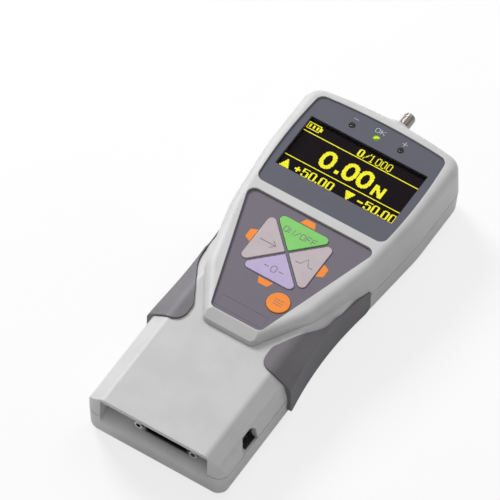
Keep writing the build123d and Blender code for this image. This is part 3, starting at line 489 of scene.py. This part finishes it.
def build_display():
    """The lit dots, as thin plates on the display's glass, in the middle of the window."""
    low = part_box("display_glass")[1].z - PRINT_HEIGHT / 2
    middle_x, middle_y, _ = centre_of("display_window")
    left = middle_x - COLUMNS / 2 * DOT
    top = middle_y + ROWS / 2 * DOT
    side = (DOT - DOT_GAP) / 2
    form = bmesh.new()
    for column, row in display_dots():
        x = left + (column + 0.5) * DOT
        y = top - (row + 0.5) * DOT
        square = [(x - side, y - side), (x + side, y - side), (x + side, y + side), (x - side, y + side)]
        raised(form, square, low, PRINT_HEIGHT)
    add_piece("display_dots", form, "dots", "gauge", smooth=False)


# The sensing stud, with its thread

THREAD_PITCH = 1.0 * MM
THREAD_DEPTH = 0.8 * MM
THREAD_LENGTH = 9.6 * MM
STEPS_PER_TURN = 12
STUD_STEP = 1 * MM
INNER_STEP = 1.5 * MM
SHANK_BEVEL = 0.3 * MM
UNDERCUT_LENGTH = 0.6 * MM
NUT_GAP = 0.1 * MM
TIP_LENGTH = 1.2 * THREAD_DEPTH
TIP_SHARE = 0.35
CREST_LIFT = 1.25
FLANK_SLOPE = 1.6


def thread_profile(y, turn):
    """How far the thread rises from its root at a place along the stud and round it, from 0 to 1."""
    phase = (y / THREAD_PITCH - turn) % 1
    return min(1.0, max(0.0, CREST_LIFT - abs(phase * 2 - 1) * FLANK_SLOPE))


def build_stud():
    """The sensing shaft as one turned piece, threaded where it stands out of the boss."""
    low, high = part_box("sensing_shaft")
    axis = (low + high) / 2
    shank = (high.x - low.x) / 2
    inner = shank - INNER_STEP
    root = shank - STUD_STEP - THREAD_DEPTH
    thread_start = high.y - THREAD_LENGTH
    shank_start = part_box("lock_nut")[1].y + NUT_GAP
    shank_end = thread_start - UNDERCUT_LENGTH
    rows = [
        (low.y, inner), (shank_start, inner),
        (shank_start, shank - SHANK_BEVEL), (shank_start + SHANK_BEVEL, shank),
        (shank_end - SHANK_BEVEL, shank), (shank_end, shank - SHANK_BEVEL), (shank_end, root),
    ]
    form = bmesh.new()
    rings = []

    def ring(y, radius_at):
        rings.append([])
        for i in range(CIRCLE_STEPS):
            turn = i / CIRCLE_STEPS
            x = axis.x + radius_at(turn) * math.cos(math.tau * turn)
            z = axis.z + radius_at(turn) * math.sin(math.tau * turn)
            rings[-1].append(form.verts.new((x, y, z)))

    for y, radius in rows:
        ring(y, lambda turn, radius=radius: radius)
    steps = int(THREAD_LENGTH / THREAD_PITCH * STEPS_PER_TURN)
    for k in range(steps + 1):
        y = thread_start + THREAD_LENGTH * k / steps
        tip = min(1.0, (high.y - y) / TIP_LENGTH)
        limit = root + THREAD_DEPTH * (TIP_SHARE + (1 - TIP_SHARE) * tip)
        ring(y, lambda turn, y=y, limit=limit: min(limit, root + THREAD_DEPTH * thread_profile(y, turn)))
    for first, second in zip(rings, rings[1:]):
        for i in range(CIRCLE_STEPS):
            j = (i + 1) % CIRCLE_STEPS
            form.faces.new((first[i], first[j], second[j], second[i]))
    form.faces.new(rings[0])
    form.faces.new(rings[-1])
    piece = add_piece("threaded_shaft", form, "turned", "shaft")
    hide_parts("sensing_shaft")


# Signs on the keys and sheets

KEY_LINE = 0.42 * MM
MENU_LINE = 0.8 * KEY_LINE
LAMP_LINE = 0.26 * MM
LAMP_SIGN_LIFT = 3.9 * MM
LAMP_SIGN_HALF = 1.3 * MM
LETTER_WIDTH = 0.72
LETTER_WAIST = 0.52
LETTER_CORNER = 0.28
LETTER_INSET = 0.12
FRAME_HALF_WIDTH = 12.2 * MM
FRAME_LOW = -39.6 * MM
FRAME_HIGH = -33.4 * MM
FRAME_CORNER = 0.4 * MM
FRAME_LINE = 0.2 * MM
TAB_ROOT = 17.3 * MM
TAB_REACH = 20.6 * MM
TAB_BEVEL = 0.3 * MM
TAB_ROOT_HALF = 3.9 * MM
TAB_HALF = 2.5 * MM
TAB_END_HALF = 2.0 * MM


def build_tabs():
    """The small orange marks that look out from behind the four keys of the cross."""
    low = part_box("key_panel")[1].z - PRINT_HEIGHT / 2
    centre_x = centre_of("key_zero")[0]
    centre_y = (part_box("key_power")[1].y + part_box("key_zero")[0].y) / 2
    shoulder = TAB_REACH - TAB_BEVEL
    outline = [(TAB_ROOT, -TAB_ROOT_HALF), (shoulder, -TAB_HALF), (TAB_REACH, -TAB_END_HALF),
               (TAB_REACH, TAB_END_HALF), (shoulder, TAB_HALF), (TAB_ROOT, TAB_ROOT_HALF)]
    form = bmesh.new()
    for quarter in range(4):
        turn = math.radians(90 * quarter)
        turned = [(centre_x + x * math.cos(turn) - y * math.sin(turn),
                   centre_y + x * math.sin(turn) + y * math.cos(turn)) for x, y in outline]
        raised(form, turned, low, PRINT_HEIGHT)
    add_piece("orange_marks", form, "orange", "gauge", smooth=False)


def rounded_box(left, bottom, right, top, radius, steps=4):
    """The corners of a rounded rectangle as one closed line."""
    points = []
    for centre, start in (((right - radius, bottom + radius), -90), ((right - radius, top - radius), 0),
                          ((left + radius, top - radius), 90), ((left + radius, bottom + radius), 180)):
        points += arc(centre, radius, start, start + 90, steps)
    return points


def letter(mark, x, y, width, height):
    """Open and closed lines of one plain letter, with its lower left corner at x, y."""
    right, top, middle = x + width, y + height, y + height * LETTER_WAIST
    inset = width * LETTER_INSET
    if mark == "O":
        return [(rounded_box(x, y, right, top, height * LETTER_CORNER), True)]
    if mark == "N":
        return [([(x, y), (x, top), (right, y), (right, top)], False)]
    if mark == "F":
        return [([(x, y), (x, top), (right, top)], False), ([(x, middle), (right - inset, middle)], False)]
    if mark == "K":
        return [([(x, y), (x, top)], False), ([(right, top), (x + inset, middle), (right, y)], False)]
    return [([(x, y), (right, top)], False)]


def word(text, centre, height, pitch):
    """Lines of a short word, centred."""
    lines = []
    width = pitch * LETTER_WIDTH
    start = centre[0] - (pitch * len(text) - (pitch - width)) / 2
    for i, mark in enumerate(text):
        lines += letter(mark, start + i * pitch, centre[1] - height / 2, width, height)
    return lines


def shifted(x, y, points):
    """Points given in millimetres from a place, as points of the scene."""
    return [(x + along * MM, y + up * MM) for along, up in points]


def build_key_signs():
    """The signs on the five keys."""
    x, y, top = centre_of("key_power")
    strokes("sign_power", word("ON/OFF", (x + 0.2 * MM, y + 1.9 * MM), 3.0 * MM, 2.9 * MM), KEY_LINE, top,
            "ink_dark", "key_power")
    x, y, top = centre_of("key_send")
    arrow = [(shifted(x, y, [(-5.2, 0), (3.2, 0)]), False),
             (shifted(x, y, [(0.9, 2), (3.2, 0), (0.9, -2)]), False)]
    strokes("sign_send", arrow, KEY_LINE, top, "ink_dark", "key_send")
    x, y, top = centre_of("key_peak")
    peak = [(shifted(x, y, [(-3.4, -1.8), (-0.8, -1.8), (1.2, 2), (3.2, -1.8), (5.4, -1.8)]), False)]
    strokes("sign_peak", peak, KEY_LINE, top, "ink_dark", "key_peak")
    x, y, top = centre_of("key_zero")
    zero = [(rounded_box(x - 1.3 * MM, y - 3.7 * MM, x + 1.3 * MM, y - 0.3 * MM, 1.1 * MM), True),
            (shifted(x, y, [(-5, -2), (-2.6, -2)]), False),
            (shifted(x, y, [(2.6, -2), (5, -2)]), False)]
    strokes("sign_zero", zero, KEY_LINE, top, "ink_dark", "key_zero")
    x, y, top = centre_of("key_menu")
    bars = [(shifted(x, y, [(-2.2, step), (2.2, step)]), False) for step in (-1.3, 0, 1.3)]
    strokes("sign_menu", bars, MENU_LINE, top, "ink_dark", "key_menu")


def build_lamp_signs():
    """Minus, OK and plus above the three lamps."""
    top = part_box("display_overlay")[1].z
    x, y, _ = centre_of("led_low")
    lines = [([(x - LAMP_SIGN_HALF, y + LAMP_SIGN_LIFT), (x + LAMP_SIGN_HALF, y + LAMP_SIGN_LIFT)], False)]
    x, y, _ = centre_of("led_high")
    y += LAMP_SIGN_LIFT
    lines.append(([(x - LAMP_SIGN_HALF, y), (x + LAMP_SIGN_HALF, y)], False))
    lines.append(([(x, y - LAMP_SIGN_HALF), (x, y + LAMP_SIGN_HALF)], False))
    x, y, _ = centre_of("led_ok")
    lines += word("OK", (x, y + LAMP_SIGN_LIFT), 2.3 * MM, 2.9 * MM)
    strokes("lamp_signs", lines, LAMP_LINE, top, "ink_white", "gauge")


def build_name_frame():
    """The thin bare frame at the lower end of the key sheet."""
    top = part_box("key_panel")[1].z
    outline = rounded_box(-FRAME_HALF_WIDTH, FRAME_LOW, FRAME_HALF_WIDTH, FRAME_HIGH, FRAME_CORNER)
    strokes("name_frame", [(outline, True)], FRAME_LINE, top, "ink_line", "gauge")


build_display()
build_stud()
build_tabs()
build_key_signs()
build_lamp_signs()
build_name_frame()


# Floor, light and camera

FLOOR_HALF = 3.0
FLOOR_DROP = 0.1 * MM
FLOOR_COLOR = (0.88, 0.88, 0.88)
FLOOR_LOW = (0.87, 0.87, 0.87)
FLOOR_HIGH = (0.89, 0.89, 0.89)
FLOOR_GLOW = 0.75
WORLD_LIGHT = 0.42
AIM = (0, 0, 0.01)
CAMERA_PLACE = (0.78742136, -1.34797545, 2.26611762)
CAMERA_RIGHT = (0.84301198, 0.53751944, 0.02009105)
CAMERA_UP = (-0.45026947, 0.68475613, 0.57303268)
CAMERA_LENS = 439.85
CAMERA_SENSOR = 36


def build_floor():
    """Pale paper, with a share of its own light for the camera, so it stays plain and keeps soft shadows."""
    mesh = bpy.data.meshes.new("floor")
    corners = [(-FLOOR_HALF, -FLOOR_HALF, 0), (FLOOR_HALF, -FLOOR_HALF, 0), (FLOOR_HALF, FLOOR_HALF, 0),
               (-FLOOR_HALF, FLOOR_HALF, 0)]
    mesh.from_pydata(corners, [], [(0, 1, 2, 3)])
    floor = bpy.data.objects.new("floor", mesh)
    bpy.context.scene.collection.objects.link(floor)
    floor.location.z = -FLOOR_DROP
    material, tree, shader = begin("floor_paper", FLOOR_COLOR, 0.9)
    tree.links.new(ramp(tree, noise(tree, place(tree), 60 * MM), FLOOR_LOW, FLOOR_HIGH),
                   shader.inputs["Base Color"])
    glow = tree.nodes.new("ShaderNodeEmission")
    mix = tree.nodes.new("ShaderNodeMixShader")
    path = tree.nodes.new("ShaderNodeLightPath")
    seen = tree.nodes.new("ShaderNodeMath")
    seen.operation = "MAXIMUM"
    share = tree.nodes.new("ShaderNodeMath")
    share.operation = "MULTIPLY"
    share.inputs[1].default_value = FLOOR_GLOW
    tree.links.new(path.outputs["Is Camera Ray"], seen.inputs[0])
    tree.links.new(path.outputs["Is Transmission Ray"], seen.inputs[1])
    tree.links.new(seen.outputs[0], share.inputs[0])
    tree.links.new(share.outputs[0], mix.inputs["Fac"])
    tree.links.new(shader.outputs["BSDF"], mix.inputs[1])
    tree.links.new(glow.outputs["Emission"], mix.inputs[2])
    tree.links.new(mix.outputs["Shader"], tree.nodes["Material Output"].inputs["Surface"])
    mesh.materials.append(material)


def build_world():
    """Even white light from all round."""
    world = bpy.data.worlds.new("studio")
    bpy.context.scene.world = world
    world.use_nodes = True
    background = world.node_tree.nodes["Background"]
    background.inputs["Color"].default_value = (1, 1, 1, 1)
    background.inputs["Strength"].default_value = WORLD_LIGHT


def add_lamp(name, place_at, side, power):
    """A square soft lamp that points at the part."""
    light = bpy.data.lights.new(name, "AREA")
    light.shape = "RECTANGLE"
    light.size = side
    light.size_y = side
    light.energy = power
    lamp = bpy.data.objects.new(name, light)
    bpy.context.scene.collection.objects.link(lamp)
    lamp.location = place_at
    lamp.rotation_euler = (Vector(AIM) - Vector(place_at)).to_track_quat("-Z", "Y").to_euler()


def build_camera():
    """The photograph's own view, fitted to points of the body: from the tail's right, 55 degrees down."""
    right = Vector(CAMERA_RIGHT)
    up = Vector(CAMERA_UP)
    turn = Matrix((right, up, right.cross(up))).transposed()
    camera = bpy.data.cameras.new("camera")
    camera.lens = CAMERA_LENS
    camera.sensor_width = CAMERA_SENSOR
    holder = bpy.data.objects.new("camera", camera)
    bpy.context.scene.collection.objects.link(holder)
    holder.matrix_world = Matrix.Translation(Vector(CAMERA_PLACE)) @ turn.to_4x4()
    bpy.context.scene.camera = holder


build_floor()
build_world()
add_lamp("key", (-1.1, 0.55, 0.95), 0.5, 19)
add_lamp("fill", (0.3, 1.0, 1.4), 0.9, 5)
build_camera()
bpy.context.scene.view_settings.view_transform = "Standard"
